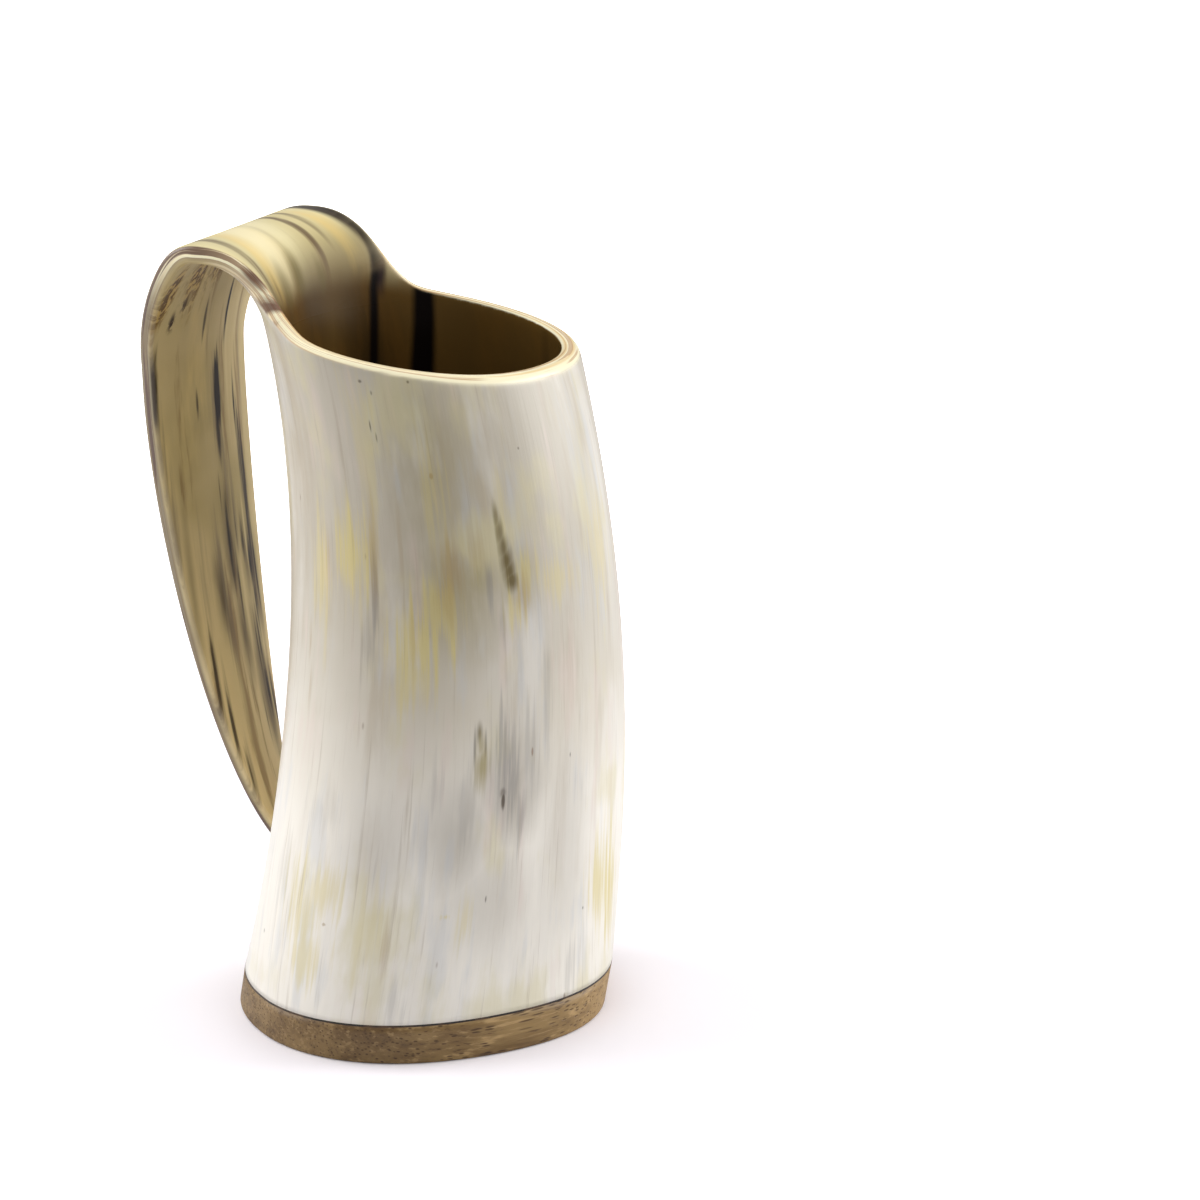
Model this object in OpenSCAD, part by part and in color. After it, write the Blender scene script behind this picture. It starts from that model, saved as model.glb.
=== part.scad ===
/* [Cup outline] */
// Height of the rim at the front, above the table
rim_height = 158; // [130:1:190]
// Depth of the oval, handle side to front, at the table
foot_depth = 86.5; // [80:0.5:96]
// Depth that draws the outline in, a third of the way up
low_depth = 62; // [58:0.5:76]
// Depth that draws the outline in, two thirds of the way up
high_depth = 76; // [64:0.5:82]
// Depth of the oval at the rim
rim_depth = 63.5; // [58:0.5:74]
// Width of the oval, side to side, at the table
foot_width = 94; // [88:0.5:104]
// Width that fills the outline, a third of the way up
low_width = 110; // [98:0.5:120]
// Width that fills the outline, two thirds of the way up
high_width = 74; // [70:0.5:86]
// Width of the oval at the rim
rim_width = 79.5; // [72:0.5:88]
// Forward curve of the horn, a third of the way up
low_lean = 10; // [2:0.5:15]
// Forward curve of the horn, two thirds of the way up
high_lean = 12.5; // [6:0.5:20]
// Forward place of the rim's centre
rim_lean = 0.5; // [-4:0.5:6]
// Turn of the oval about the upright axis, in degrees
oval_turn = -18; // [-20:0.5:0]

/* [Horn wall] */
// Thickness of the horn at its foot
wall_foot = 5; // [4:0.1:6]
// Thickness of the horn at the rim
wall_rim = 4.4; // [3.5:0.1:4.8]
// Thickness of the handle
wall_handle = 4.5; // [3.6:0.1:5.5]
// Thickness of the handle at its tip
wall_tip = 3.2; // [2.8:0.1:4]
// Rounding of the cut edges, apart from the rim's outer edge
edge_round = 1; // [0.5:0.1:1.3]
// Rounding of the rim's outer edge, which runs out on the handle
rim_round = 2.1; // [1:0.1:2.5]
// Rise of the rim from the front to the handle side
rim_rise = 13.9; // [8:0.1:22]

/* [Handle] */
// Height above the front rim at which the wall starts to bend outwards
bend_rise = 8; // [3:0.5:9]
// Height of the bend's underside above the front rim
top_rise = 22.5; // [18:0.5:30]
// Distance of the bend's highest point behind the wall
top_reach = 11.5; // [9:0.5:16]
// Distance of the handle behind the wall, at its widest
grip_reach = 21.5; // [19:0.5:28]
// Drop from the front rim to the handle's widest point
grip_drop = 4.8; // [-2:0.1:12]
// Height of the handle's tip above the table
tip_height = 35.5; // [28:1:48]
// Width of the handle where it leaves the cup
neck_width = 58; // [52:0.5:61]
// Sideways place of the neck's middle
neck_shift = -3.25; // [-4:0.25:3]
// Width of the handle over the bend
top_width = 59.5; // [52:0.5:64]
// Width of the handle at its widest point from the cup
grip_width = 47.5; // [34:0.5:50]
// Width of the blunt end of the tip
tip_width = 5; // [4:0.5:10]
// Radius of the handle's curved cross-section
grip_bow = 75; // [50:1:120]
// Size of the fillet between rim and handle
neck_fillet = 2.5; // [2:0.1:5]
// Gap between the handle's tip and the cup
tip_gap = 0.3; // [0.2:0.1:2]

/* [Wooden base] */
// Height of the wooden band, up to the glue
band_height = 9.7; // [7:0.1:14]
// Draw-in of the band, from its upper edge to the table
band_draw = 0.9; // [0:0.1:2]
// Rounding of the band's lower edge
band_round = 0.8; // [0.5:0.1:2]
// Height of the plug that stands up inside the horn
plug_height = 6; // [4:0.5:9]
// Thickness of the glue between wood and horn
glue = 0.5; // [0.3:0.1:0.8]
// Thickness of the clear sealing coat on the cup's floor
seal = 2; // [1.2:0.1:3]
// Height of the coat's rounded corner against the wall
seal_cove = 3; // [1.5:0.5:4]

/* [Hidden] */

// Shape of the rim's rise, and of the tip's taper
rim_power_share = 1.37;
tip_power_share = 1.77;
tip_round_share = 0.75;
// Bulge of the oval at the table towards the front, the back and the sides, as a share of its radius
bulge_share = 0.018;
// Lengths of the curves that draw the handle's side view, as shares of its reach and of its run
root_pull_share = 0.38;
top_in_pull_share = 0.9;
top_out_pull_share = 0.54;
grip_up_pull_share = 0.35;
grip_down_pull_share = 0.14;
tip_pull_share = 0.21;
// Lean of the tip off the upright, in degrees
tip_lean = 33;
// Turn over which the cup's wall takes up the bend, in degrees
bend_fade = 42;
// Columns round the cup, of which some run on up the handle
columns = 64;
strip_columns = 14;
// Rows up the cup, and along the handle's neck, bend, grip and tip
cup_rows = 23;
neck_rows = 5;
bend_rows = 24;
grip_rows = 10;
tip_rows = 12;
// Crowding of the cup's rows towards the rim, and of the neck's towards the fillet
crowd_share = 1.5;
neck_crowd_share = 1.5;
// Length of the neck's rows, in fillets, and share of the rest past the bend that its grip rows take
neck_length_share = 2.5;
grip_share = 0.6;
// Steps round each rounded corner of the base, and round the rim's outer edge
round_steps = 4;
outer_steps = 3;
// Points along each of the side view's three curves
fine = 40;

bend_z = rim_height + bend_rise;
foot_z = band_height + glue;
plug_z = band_height + plug_height;
floor_z = plug_z + seal;
cove_z = floor_z + seal_cove;

// Number or point between p and q
function mix(p, q, u) = p + (q - p)*u;
// Smooth step from 0 to 1
function ease(u) = let(k = min(1, max(0, u))) k*k*(3 - 2*k);
function unit(p) = p/norm(p);
// Cubic curve from the first of four values to the last, drawn towards the two between
function curve(p, u) = p[0]*pow(1 - u, 3) + 3*p[1]*u*pow(1 - u, 2) + 3*p[2]*u*u*(1 - u) + p[3]*pow(u, 3);

// Coefficients of the turned oval at height z: p x x + 2 q x y + r y y = 1
function oval(z) =
    let(u = z/rim_height,
        in_depth = 4/pow(curve([foot_depth, low_depth, high_depth, rim_depth], u), 2),
        in_width = 4/pow(curve([foot_width, low_width, high_width, rim_width], u), 2),
        c = cos(oval_turn), s = sin(oval_turn))
    [in_depth*c*c + in_width*s*s, (in_depth - in_width)*c*s, in_depth*s*s + in_width*c*c];
// Forward place of the oval's centre at height z
function centre_x(z) = curve([0, low_lean, high_lean, rim_lean], z/rim_height);
// Point of the oval, from its centre, in the direction of the angle t
function oval_point(k, t) =
    [cos(t), sin(t)]/sqrt(k[0]*cos(t)*cos(t) + 2*k[1]*cos(t)*sin(t) + k[2]*sin(t)*sin(t));
// Point of the oval's handle side at the sideways place y
function oval_back(k, y) =
    [(-k[1]*y - sqrt(k[0] - (k[0]*k[2] - k[1]*k[1])*y*y))/k[0], y];
// Direction from a point of the oval straight into the wall
function inwards(k, p) = -unit([k[0]*p[0] + k[1]*p[1], k[1]*p[0] + k[2]*p[1]]);
// Point of the cup's wall at the angle t and height z, at a depth in from the outside
function wall_point(t, z, depth) =
    let(k = oval(z), bulge = bulge_share*max(0, 1 - z/rim_height)*cos(4*t), p = oval_point(k, t)*(1 + bulge),
        q = p + depth*inwards(k, p))
    [centre_x(z) + q[0], q[1], z];
function back_x(z) = wall_point(180, z, 0)[0];

// Side view of the handle, on the face towards the cup: three curves, as points of x and z
root = [back_x(bend_z), bend_z];
top = [root[0] - top_reach, rim_height + top_rise];
grip = [root[0] - grip_reach, rim_height - grip_drop];
tip = [back_x(tip_height) - tip_gap, tip_height];
root_way = unit(root - [back_x(bend_z - wall_rim), bend_z - wall_rim]);
tip_way = [sin(tip_lean), -cos(tip_lean)];
grip_run = grip[1] - tip[1];
side_curves = [
    [root, root + root_way*top_reach*root_pull_share, top + [top_reach*top_in_pull_share, 0], top],
    [top, top - [top_reach*top_out_pull_share, 0], grip + [0, grip_reach*grip_up_pull_share], grip],
    [grip, grip - [0, grip_run*grip_down_pull_share], tip - tip_way*grip_run*tip_pull_share, tip]];
side = [for (k = [0:2]) for (n = [k == 0 ? 0 : 1:fine]) curve(side_curves[k], n/fine)];
last = len(side) - 1;
// Length along the side view up to each point, and the way it runs there, as an angle from level
run = [for (n = 0, s = 0; n <= last; s = n < last ? s + norm(side[n + 1] - side[n]) : s, n = n + 1) s];
way = [for (n = [0:last])
    let(d = side[min(n + 1, last)] - side[max(n - 1, 0)], a = atan2(d[1], d[0])) a < 0 ? a + 360 : a];
run_top = run[fine];
run_grip = run[2*fine];
run_end = run[last];
x_at = [for (n = [0:last]) [run[n], side[n][0]]];
z_at = [for (n = [0:last]) [run[n], side[n][1]]];
way_at = [for (n = [0:last]) [run[n], way[n]]];

// Thickness of the horn at v: the height up to the bend, and from there on the length along it
function thickness(v) =
    let(s = v - bend_z)
    s < 0 ? mix(wall_foot, wall_rim, v/bend_z) :
    s < run_grip ? mix(wall_rim, wall_handle, ease(s/run_grip)) :
    mix(wall_handle, wall_tip, ease((s - run_grip)/(run_end - run_grip)));
// Height whose oval the handle's natural curve is taken from
function settled(v) = v < bend_z ? v : bend_z + top_reach*(1 - exp(-(v - bend_z)/top_reach));
// Point of the bent sheet, from the point p of the oval that it grew from
function sheet_point(p, y, v, depth) =
    let(s = max(0, v - bend_z), k = oval(settled(v)), keep = 1 - ease(s/run_top),
        bow = ease((s - run_top)/(run_grip - run_top))/grip_bow,
        grown = inwards(k, p), bent = unit([1, -bow*y]), n = unit(mix(bent, grown, keep)),
        sag = mix(bow*y*y/2, p[0] + 1/sqrt(k[0]), keep) + depth*n[0],
        a = lookup(s, way_at) - mix(90, way[0], 1 - ease(s/top_reach)),
        x = v > bend_z ? lookup(s, x_at) : back_x(v),
        z = v > bend_z ? lookup(s, z_at) : v)
    [x + sag*cos(a), y + depth*n[1], z + sag*sin(a)];

// Height of the cut rim at the angle t, before the fillet
function rim_z(t) = rim_height + rim_rise*pow((1 - cos(t))/2, rim_power_share);
// Half width of the handle at the length s past the bend's start, before the fillet
function half_strip(s) =
    let(u = (s - run_grip)/(run_end - run_grip))
    (s < run_top ? mix(neck_width, top_width, ease(s/run_top)) :
    s < run_grip ? mix(top_width, grip_width, (s - run_top)/(run_grip - run_top)) :
    mix(tip_width, grip_width, pow(max(0, 1 - pow(u, tip_power_share)), tip_round_share)))/2;

// Corner where the rim turns into the handle's edge, on either side, as turns away from the back
half_corner = neck_width/2 + neck_fillet;
function turn_of(y) = let(p = oval_back(oval(bend_z), y)) 180 - abs(atan2(p[1], p[0]));
left_turn = turn_of(neck_shift + half_corner);
right_turn = turn_of(neck_shift - half_corner);
function corner_turn(t) = t < 180 ? left_turn : right_turn;
corner_v = (rim_z(180 - left_turn) + rim_z(180 + right_turn))/2 + neck_fillet;
end_v = bend_z + run_end;

// Cut rim at the angle t, with the fillet that leads up into the handle
function rim_top(t) =
    let(from_corner = (abs(t - 180) - corner_turn(t))*PI/180*(rim_depth + rim_width)/4,
        step = corner_v - rim_z(180 - corner_turn(t)))
    rim_z(t) + step*exp(-from_corner/neck_fillet);
// Half width of the handle at v, with the same fillet
function half_handle(v) =
    half_strip(v - bend_z) + (half_corner - half_strip(corner_v - bend_z))*exp((corner_v - v)/neck_fillet);
// Sideways place of the handle's middle at v
function middle(v) = neck_shift*(1 - ease((v - corner_v)/(bend_z + run_grip - corner_v)));

// Point of the handle, sideways by y
function handle_point(y, v, depth) = sheet_point(oval_back(oval(settled(v)), y), y, v, depth);
// Point of the cup, which takes up the bend near the handle
function cup_point(t, v, depth) =
    let(share = v > bend_z ? 1 - ease((abs(t - 180) - corner_turn(t))/bend_fade) : 0,
        p = oval_point(oval(settled(v)), t))
    share > 0 ? mix(wall_point(t, v, depth), sheet_point(p, p[1], v, depth), share) : wall_point(t, v, depth);

// Angles of the columns, from 0 to 360: first those of the handle, then on round the front
strip_angles = [for (n = [0:strip_columns])
    let(y = neck_shift + half_corner*(1 - 2*n/strip_columns),
        p = oval_back(oval(bend_z), y), a = atan2(p[1], p[0]))
    a < 0 ? a + 360 : a];
front_angles = [for (n = [1:columns - strip_columns - 1])
    let(a = mix(strip_angles[strip_columns], strip_angles[0] + 360, n/(columns - strip_columns)))
    a > 360 ? a - 360 : a];
angles = concat(strip_angles, front_angles);
// Rows of the handle, as values of v
neck_end = corner_v + neck_length_share*neck_fillet;
bend_end = bend_z + run_grip;
grip_end = mix(bend_end, end_v, grip_share);
handle_rows = concat(
    [for (n = [1:neck_rows]) mix(corner_v, neck_end, pow(n/neck_rows, neck_crowd_share))],
    [for (n = [1:bend_rows]) mix(neck_end, bend_end, n/bend_rows)],
    [for (n = [1:grip_rows]) mix(bend_end, grip_end, n/grip_rows)],
    [for (n = [1:tip_rows]) mix(grip_end, end_v - edge_round, sin(90*n/tip_rows))]);
last_row = len(handle_rows);

// Rounding of the cut edge at v, on the outer face (0) and on the inner face (1)
function rounding(face, v) =
    face == 1 ? edge_round : mix(rim_round, edge_round, ease((v - corner_v)/run_top));
// Upper end of each column of the cup, short of the rounded edge
function column_top(i, face) =
    let(r = rounding(face, corner_v))
    i > strip_columns ? rim_top(angles[i]) - r :
    i > 0 && i < strip_columns ? corner_v : corner_v - r*cos(45);
function cup_v(i, j, face) =
    j == 0 ? foot_z : j == 1 ? plug_z :
    mix(cove_z, column_top(i, face), 1 - pow(1 - (j - 2)/(cup_rows - 2), crowd_share));
function cup_grid(i, j, face) =
    let(v = cup_v(i, j, face), depth = face*thickness(v), inset = rounding(face, corner_v)*cos(45))
    j == cup_rows && (i == 0 || i == strip_columns) ?
        handle_point(neck_shift + sign(180 - angles[i])*(half_corner - inset), v, depth) :
        cup_point(angles[i], v, depth);
function handle_grid(i, j, face) =
    let(v = handle_rows[j - 1], half = half_handle(v) - rounding(face, v))
    handle_point(middle(v) + half*(1 - 2*i/strip_columns), v, face*thickness(v));
// Places of the grid's points in the list
function cup_index(i, j) = (i % columns)*(cup_rows + 1) + j;
function handle_index(i, j) =
    j == 0 ? cup_index(i, cup_rows) : columns*(cup_rows + 1) + (j - 1)*(strip_columns + 1) + i;
grid_size = columns*(cup_rows + 1) + last_row*(strip_columns + 1);
function face_points(face) = concat(
    [for (i = [0:columns - 1]) for (j = [0:cup_rows]) cup_grid(i, j, face)],
    [for (j = [1:last_row]) for (i = [0:strip_columns]) handle_grid(i, j, face)]);

// Stations round the whole cut edge: [angle or side place, v, inwards in y, inwards in v, grid place]
front_edge = [for (i = [strip_columns + 1:columns - 1])
    [angles[i], rim_top(angles[i]), 0, -1, cup_index(i, cup_rows)]];
function corner_edge(i, way) =
    [[neck_shift + way*half_corner, corner_v, -way*cos(45), -cos(45), cup_index(i, cup_rows)]];
function side_edge(i, way, j) =
    let(v = handle_rows[j - 1])
    [middle(v) + way*half_handle(v), j < last_row ? v : end_v, -way, j < last_row ? 0 : -1,
     handle_index(i, j)];
tip_edge = [for (i = [1:strip_columns - 1])
    [(half_handle(handle_rows[last_row - 1]) - edge_round)*(1 - 2*i/strip_columns), end_v, 0, -1,
     handle_index(i, last_row)]];
edge = concat(front_edge, corner_edge(0, 1), [for (j = [1:last_row]) side_edge(0, 1, j)], tip_edge,
    [for (j = [last_row:-1:1]) side_edge(strip_columns, -1, j)], corner_edge(strip_columns, -1));
// Rounded edge at v, from the outer face to the inner: [inset, depth, share of the whole thickness]
round_in = edge_round*(1 - cos(45));
function edge_profile(v) =
    let(r = rounding(0, v))
    [for (n = [1:outer_steps]) let(a = 90*n/outer_steps) [r*(1 - sin(a)), r*(1 - cos(a)), 0],
     [0, -edge_round, 1], [round_in, -round_in, 1]];
profile_size = outer_steps + 2;
function edge_point(n, k) =
    let(e = edge[n], w = edge_profile(e[1])[k], a = e[0] + e[2]*w[0], v = e[1] + e[3]*w[0],
        depth = w[1] + w[2]*thickness(v))
    n < len(front_edge) ? cup_point(a, v, depth) : handle_point(a, v, depth);
function edge_index(n, k) =
    let(m = n % len(edge))
    k < 0 ? edge[m][4] : k < profile_size ? 2*grid_size + m*profile_size + k : grid_size + edge[m][4];

// Two triangles of a quad whose corners run anticlockwise, seen from outside
function quad(a, b, c, d) = [[a, d, c], [a, c, b]];
function grid_faces(start, turned) = [
    for (i = [0:columns - 1]) for (j = [0:cup_rows - 1])
        let(a = start + cup_index(i, j), b = start + cup_index(i + 1, j))
        each turned ? quad(b, a, a + 1, b + 1) : quad(a, b, b + 1, a + 1),
    for (i = [0:strip_columns - 1]) for (j = [0:last_row - 1])
        let(a = start + handle_index(i, j), b = start + handle_index(i + 1, j),
            c = start + handle_index(i + 1, j + 1), d = start + handle_index(i, j + 1))
        each turned ? quad(b, a, d, c) : quad(a, b, c, d)];

// Cup and handle: one piece of horn, its back wall bent over outwards and down
module horn_body() {
    color([0.91, 0.88, 0.8])
    polyhedron(
        points = concat(face_points(0), face_points(1),
            [for (n = [0:len(edge) - 1]) for (k = [0:profile_size - 1]) edge_point(n, k)]),
        faces = concat(grid_faces(0, false), grid_faces(grid_size, true),
            [for (n = [0:len(edge) - 1]) for (k = [-1:profile_size - 1])
                each quad(edge_index(n, k), edge_index(n + 1, k),
                    edge_index(n + 1, k + 1), edge_index(n, k + 1))],
            [for (i = [0:columns - 1])
                each quad(cup_index(i + 1, 0), cup_index(i, 0),
                    grid_size + cup_index(i, 0), grid_size + cup_index(i + 1, 0))]));
}

// Ring of wall points at a depth in from the outside and a height
function ring(depth, z) = [for (t = angles) wall_point(t, z, depth)];
// Solid through rings of points, closed with a face at each end, or round on itself
module lofted(rings, closed) {
    stack = len(rings);
    polyhedron(
        points = [for (r = rings) each r],
        faces = concat(
            [for (r = [0:closed ? stack - 1 : stack - 2]) for (i = [0:columns - 1])
                let(low = r*columns, high = ((r + 1) % stack)*columns, next = (i + 1) % columns)
                each quad(low + i, low + next, high + next, high + i)],
            closed ? [] : [[for (i = [0:columns - 1]) i], [for (i = [1:columns]) stack*columns - i]]));
}

// Foot of wood: a band flush with the horn and a plug that stands up inside it
module wood_base() {
    color([0.47, 0.35, 0.23])
    lofted(concat(
        [for (a = [0:90/round_steps:90])
            let(z = band_round*(1 - cos(a)))
            ring(band_draw*(1 - z/band_height) + band_round*(1 - sin(a)), z)],
        [ring(0, band_height), ring(thickness(foot_z) + glue, band_height),
         ring(thickness(plug_z) + glue, plug_z)]), false);
}

// Glue between wood and horn, under the horn's edge and up round the plug
module glue_seam() {
    color([0.13, 0.09, 0.06])
    lofted([ring(0, band_height), ring(0, foot_z), ring(thickness(foot_z), foot_z),
        ring(thickness(plug_z), plug_z), ring(thickness(plug_z) + glue, plug_z),
        ring(thickness(foot_z) + glue, band_height)], true);
}

// Clear coat that seals the plug and its joint, with a rounded corner against the wall
module floor_seal() {
    color([0.62, 0.42, 0.2, 0.7])
    lofted(concat([ring(thickness(plug_z), plug_z)],
        [for (a = [0:90/round_steps:90])
            ring(thickness(cove_z) + seal_cove*(1 - cos(a)), cove_z - seal_cove*sin(a))]), false);
}

horn_body();
wood_base();
glue_seam();
floor_seal();
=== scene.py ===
import math

import bmesh
import bpy
import numpy as np
from mathutils import Matrix, Vector


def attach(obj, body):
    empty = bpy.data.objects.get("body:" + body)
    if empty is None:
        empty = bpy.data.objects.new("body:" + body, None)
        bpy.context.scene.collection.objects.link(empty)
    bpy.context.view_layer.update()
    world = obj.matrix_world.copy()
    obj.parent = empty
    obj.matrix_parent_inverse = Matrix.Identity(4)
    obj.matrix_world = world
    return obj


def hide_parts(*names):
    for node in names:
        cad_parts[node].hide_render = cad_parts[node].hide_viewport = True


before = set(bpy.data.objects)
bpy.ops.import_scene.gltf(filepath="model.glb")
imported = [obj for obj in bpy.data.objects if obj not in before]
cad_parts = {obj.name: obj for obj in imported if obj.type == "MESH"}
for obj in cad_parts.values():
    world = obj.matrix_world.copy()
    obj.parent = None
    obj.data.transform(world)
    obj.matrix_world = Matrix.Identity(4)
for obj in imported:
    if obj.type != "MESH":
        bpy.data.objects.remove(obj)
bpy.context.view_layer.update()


# Horn body: one cattle horn, sawn off square at the foot and hollowed to a wall of 4 to 5 mm.
# A tongue of the wall is steamed and bent out over a hump and down to a point that ends just
# clear of the back. The outside is scraped down to pale layers, the hollow and hump lacquered.

RIM_HEIGHT = 0.158                     # front of the rim above the table
OVAL_DEPTHS = (0.0865, 0.062, 0.076, 0.0635)   # curve from the foot to the rim, handle side to front
OVAL_WIDTHS = (0.094, 0.110, 0.074, 0.0795)    # the same, side to side
OVAL_LEANS = (0.0, 0.010, 0.0125, 0.0005)      # the same, of the oval's middle towards the front
OVAL_TURN = math.radians(-18)          # turn of the oval against the handle
BEND_HEIGHT = 0.166                    # where the tongue starts to bend outwards
TONGUE_SIDE = (                        # outer face of the tongue seen from the side: over, out, down
    ((-0.03277, 0.16600), (-0.03328, 0.17034), (-0.03392, 0.18050), (-0.04427, 0.18050)),
    ((-0.04427, 0.18050), (-0.05048, 0.18050), (-0.05427, 0.16073), (-0.05427, 0.15320)),
    ((-0.05427, 0.15320), (-0.05427, 0.13672), (-0.04707, 0.05623), (-0.03361, 0.03550)))
CORNER_BULGE = 0.018                   # share by which the oval is squared at the foot
TONGUE_BOW = 0.075                     # radius of the bow across the tongue
TONGUE_STEPS = 90                      # steps along each part of the tongue's side view
TONGUE_REACH = 0.019                   # farthest from the tongue's outer face that still belongs to it
REACH_FADE = 0.008                     # distance over which the tongue's hold fades out
ROOT_FADE = 0.010                      # length over which the cup's layout runs over into the tongue's
ROOT_OVAL_TOP = 0.170                  # height above which the tongue's root keeps its oval
OUTSIDE_SLACK = 0.00015                # distance outside the cup's oval that already means tongue
FACE_SHARE, EDGE_SHARE = 0.96, 0.80    # how squarely a face looks into or out of the wall, or along it
GROWTH_RADIUS = 0.038                  # radius on which the unbent growth lines are laid out
MM = 1000                              # millimetres in a metre


def curve_at(points, share):
    """Cubic curve through the first and last of four values or points."""
    first, second, third, last = (np.asarray(p, float) for p in points)
    rest = 1 - share
    return first*rest**3 + 3*second*share*rest**2 + 3*third*share**2*rest + last*share**3


def ease(share):
    share = np.clip(share, 0, 1)
    return share*share*(3 - 2*share)


def blend(low, high, share):
    return low + (high - low)*share


def horn_oval(height):
    """Three numbers of the horn's turned oval at a height."""
    share = height/RIM_HEIGHT
    depth, width = 4/curve_at(OVAL_DEPTHS, share)**2, 4/curve_at(OVAL_WIDTHS, share)**2
    c, s = math.cos(OVAL_TURN), math.sin(OVAL_TURN)
    return depth*c*c + width*s*s, (depth - width)*c*s, depth*s*s + width*c*c


def inwards(oval, x, y):
    slope_x, slope_y = oval[0]*x + oval[1]*y, oval[1]*x + oval[2]*y
    size = np.hypot(slope_x, slope_y)
    return -slope_x/size, -slope_y/size


def lay_out_growth(mesh):
    """Where each point lay before the horn was bent, and how it lies in the wall."""
    count = len(mesh.vertices)
    place, facing = np.empty(count*3), np.empty(count*3)
    mesh.vertices.foreach_get("co", place)
    mesh.vertices.foreach_get("normal", facing)
    place, facing = place.reshape(-1, 3), facing.reshape(-1, 3)
    x, y, z = place.T
    # Points of the cup
    oval = horn_oval(np.minimum(z, ROOT_OVAL_TOP))
    from_x = x - curve_at(OVAL_LEANS, z/RIM_HEIGHT)
    in_x, in_y = inwards(oval, from_x, y)
    turn = np.arctan2(y, from_x)
    height = z.copy()
    squared = 1 + CORNER_BULGE*np.maximum(0, 1 - z/RIM_HEIGHT)*np.cos(4*turn)
    size = np.sqrt(oval[0]*from_x**2 + 2*oval[1]*from_x*y + oval[2]*y*y)/squared
    slope = np.hypot(oval[0]*from_x + oval[1]*y, oval[1]*from_x + oval[2]*y)
    depth = (1 - size)*size/slope
    inner = np.stack([in_x, in_y, 0*z], 1)
    # Points of the tongue, laid along its side view
    steps = np.linspace(0, 1, TONGUE_STEPS)[:, None]
    path = np.vstack([curve_at(part, steps)[0 if n == 0 else 1:] for n, part in enumerate(TONGUE_SIDE)])
    length_to = np.concatenate([[0], np.cumsum(np.linalg.norm(np.diff(path, axis=0), axis=1))])
    way = np.gradient(path, axis=0)
    way /= np.linalg.norm(way, axis=1)[:, None]
    top, grip = length_to[TONGUE_STEPS - 1], length_to[2*TONGUE_STEPS - 2]
    on_bend = np.where((z > BEND_HEIGHT) | (depth < -OUTSIDE_SLACK))[0]
    bx, by, bz = place[on_bend].T
    nearest = np.argmin((bx[:, None] - path[None, :, 0])**2 + (bz[:, None] - path[None, :, 1])**2, axis=1)
    off_x, off_z = bx - path[nearest, 0], bz - path[nearest, 1]
    way_x, way_z = way[nearest].T
    length = np.maximum(0, length_to[nearest] + off_x*way_x + off_z*way_z)
    off = off_x*way_z - off_z*way_x
    root = horn_oval(BEND_HEIGHT)
    room = np.maximum(1e-4, root[0] - (root[0]*root[2] - root[1]**2)*by*by)
    root_x = (-root[1]*by - np.sqrt(room))/root[0]
    keep = 1 - ease(length/top)
    bow = ease((length - top)/(grip - top))/TONGUE_BOW
    bow_size = np.hypot(1, bow*by)
    root_in = inwards(root, root_x, by)
    normal_x, normal_y = blend(1/bow_size, root_in[0], keep), blend(-bow*by/bow_size, root_in[1], keep)
    normal_size = np.hypot(normal_x, normal_y)
    normal_x, normal_y = normal_x/normal_size, normal_y/normal_size
    sag = blend(bow*by*by/2, root_x + 1/math.sqrt(root[0]), keep)
    bent = ease(length/ROOT_FADE)*(1 - ease((off - TONGUE_REACH)/REACH_FADE))
    turn[on_bend] = blend(turn[on_bend], np.arctan2(by, root_x), bent)
    height[on_bend] = blend(height[on_bend], BEND_HEIGHT + length, bent)
    depth[on_bend] = blend(depth[on_bend], (off - sag)/normal_x, bent)
    bent_in = np.stack([normal_x*way_z, normal_y, -normal_x*way_x], 1)
    inner[on_bend] = blend(inner[on_bend], bent_in, bent[:, None])
    across = (facing*inner).sum(1)
    growth = np.stack([GROWTH_RADIUS*np.cos(turn), GROWTH_RADIUS*np.sin(turn), height], 1)
    on_edge = 1 - ease((np.abs(across) - EDGE_SHARE)/(FACE_SHARE - EDGE_SHARE))
    wall = np.stack([depth, on_edge, np.clip(0.5 + 0.56*across, 0, 1)], 1)
    for name, values in (("growth", growth), ("wall", wall)):
        mesh.attributes.new(name, "FLOAT_VECTOR", "POINT")
        mesh.attributes[name].data.foreach_set("vector", values.astype(np.float32).ravel())


MERGE_DISTANCE = 0.000004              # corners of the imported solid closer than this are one
FACE_ANGLE, SHAPE_ANGLE = 0.9, 1.2     # largest angles at which two triangles become a quad, in radians
SMOOTH_LEVELS = 2                      # times that each face is divided in four


def piece_from(node, name):
    """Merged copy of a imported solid, with its triangles joined to quads."""
    piece = bpy.data.objects.new(name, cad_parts[node].data.copy())
    bpy.context.scene.collection.objects.link(piece)
    mesh = bmesh.new()
    mesh.from_mesh(piece.data)
    bmesh.ops.remove_doubles(mesh, verts=mesh.verts, dist=MERGE_DISTANCE)
    bmesh.ops.join_triangles(
        mesh, faces=mesh.faces, angle_face_threshold=FACE_ANGLE, angle_shape_threshold=SHAPE_ANGLE)
    mesh.to_mesh(piece.data)
    mesh.free()
    piece.data.materials.clear()
    return piece


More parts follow.
